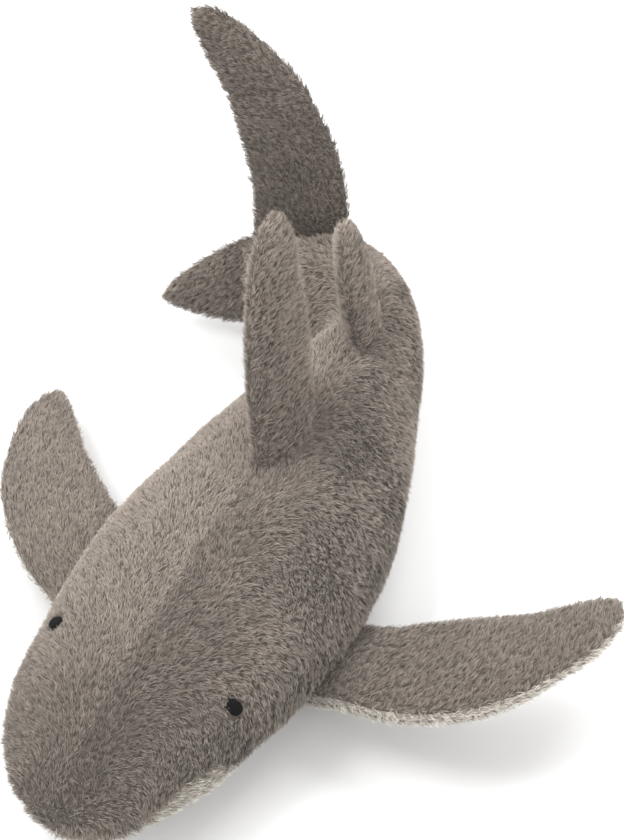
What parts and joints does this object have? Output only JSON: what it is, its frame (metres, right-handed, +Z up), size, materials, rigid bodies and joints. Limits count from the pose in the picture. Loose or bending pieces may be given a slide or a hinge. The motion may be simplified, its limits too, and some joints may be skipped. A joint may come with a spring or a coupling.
{
  "type": "plush shark",
  "caption": "Stuffed plush shark with a taupe-grey back, off-white belly, embroidered eyes, soft fins and a body that bends at the tail.",
  "frame": {"origin": "bottom centre of the bounding box of the toy at rest, on the surface that it lies on", "axes": "+Z up from the belly, -Y towards the snout, +X to the shark's left side"},
  "size_m": [0.4596, 0.4948, 0.2268],
  "materials": {
    "grey_plush": "long tufted cotton plush, taupe grey",
    "white_plush": "long tufted cotton plush, off-white",
    "stuffing": "loose natural wadding",
    "seam_thread": "seam allowance and sewing thread",
    "eye_thread": "black satin-stitch embroidery"
  },
  "bodies": {
    "dorsal_fin": {"dorsal_fin_edge_seam": "seam_thread", "dorsal_fin_left_panel": "grey_plush", "dorsal_fin_right_panel": "grey_plush", "dorsal_fin_stuffing": "stuffing"},
    "trunk": {"eye_left": "eye_thread", "eye_right": "eye_thread", "trunk_back_panel_left": "grey_plush", "trunk_back_panel_right": "grey_plush", "trunk_back_seam": "seam_thread", "trunk_belly_panel": "white_plush", "trunk_side_seam": "seam_thread", "trunk_stuffing": "stuffing"},
    "pectoral_left": {"pectoral_left_edge_seam": "seam_thread", "pectoral_left_stuffing": "stuffing", "pectoral_left_top_panel": "grey_plush", "pectoral_left_under_panel": "white_plush"},
    "pectoral_right": {"pectoral_right_edge_seam": "seam_thread", "pectoral_right_stuffing": "stuffing", "pectoral_right_top_panel": "grey_plush", "pectoral_right_under_panel": "white_plush"},
    "rear": {"rear_back_panel_left": "grey_plush", "rear_back_panel_right": "grey_plush", "rear_back_seam": "seam_thread", "rear_belly_panel": "white_plush", "rear_side_seam": "seam_thread", "rear_stuffing": "stuffing"},
    "second_dorsal_fin": {"second_dorsal_fin_edge_seam": "seam_thread", "second_dorsal_fin_left_panel": "grey_plush", "second_dorsal_fin_right_panel": "grey_plush"},
    "tail_fin": {"tail_fin_edge_seam": "seam_thread", "tail_fin_left_panel": "grey_plush", "tail_fin_right_panel": "grey_plush", "tail_fin_stuffing": "stuffing"},
    "tail_stock": {"tail_stock_back_panel_left": "grey_plush", "tail_stock_back_panel_right": "grey_plush", "tail_stock_back_seam": "seam_thread", "tail_stock_belly_panel": "white_plush", "tail_stock_side_seam": "seam_thread", "tail_stock_stuffing": "stuffing"}
  },
  "joints": [
    {"name": "rear_bend", "type": "hinge", "parent": "trunk", "child": "rear", "pos_m": [-0.0084, 0.1226, 0.05], "axis": [0, 0, 1], "range_deg": [-42, 20], "stiffness_Nm_per_rad": 0.8},
    {"name": "tail_bend", "type": "hinge", "parent": "rear", "child": "tail_stock", "pos_m": [-0.03462, 0.1875, 0.05], "axis": [0, 0, 1], "range_deg": [-58, 18], "stiffness_Nm_per_rad": 0.5},
    {"name": "tail_fin_bend", "type": "hinge", "parent": "tail_stock", "child": "tail_fin", "pos_m": [-0.0957, 0.20973, 0.05], "axis": [0, 0, 1], "range_deg": [-57, 23], "stiffness_Nm_per_rad": 0.3},
    {"name": "pectoral_left_flap", "type": "hinge", "parent": "trunk", "child": "pectoral_left", "pos_m": [0.0921, -0.0634, 0.038], "axis": [0, -1, 0], "range_deg": [-30, 55], "stiffness_Nm_per_rad": 0.25},
    {"name": "pectoral_right_flap", "type": "hinge", "parent": "trunk", "child": "pectoral_right", "pos_m": [-0.1089, -0.0634, 0.032], "axis": [0, 1, 0], "range_deg": [-20, 65], "stiffness_Nm_per_rad": 0.25},
    {"name": "dorsal_fin_flop", "type": "hinge", "parent": "trunk", "child": "dorsal_fin", "pos_m": [-0.0084, 0.0386, 0.1185], "axis": [0, 1, 0], "range_deg": [-40, 60], "stiffness_Nm_per_rad": 0.15},
    {"name": "second_dorsal_fin_flop", "type": "hinge", "parent": "rear", "child": "second_dorsal_fin", "pos_m": [-0.02039, 0.15227, 0.111], "axis": [-0.3746, 0.9272, 0], "range_deg": [-40, 55], "stiffness_Nm_per_rad": 0.06}
  ]
}
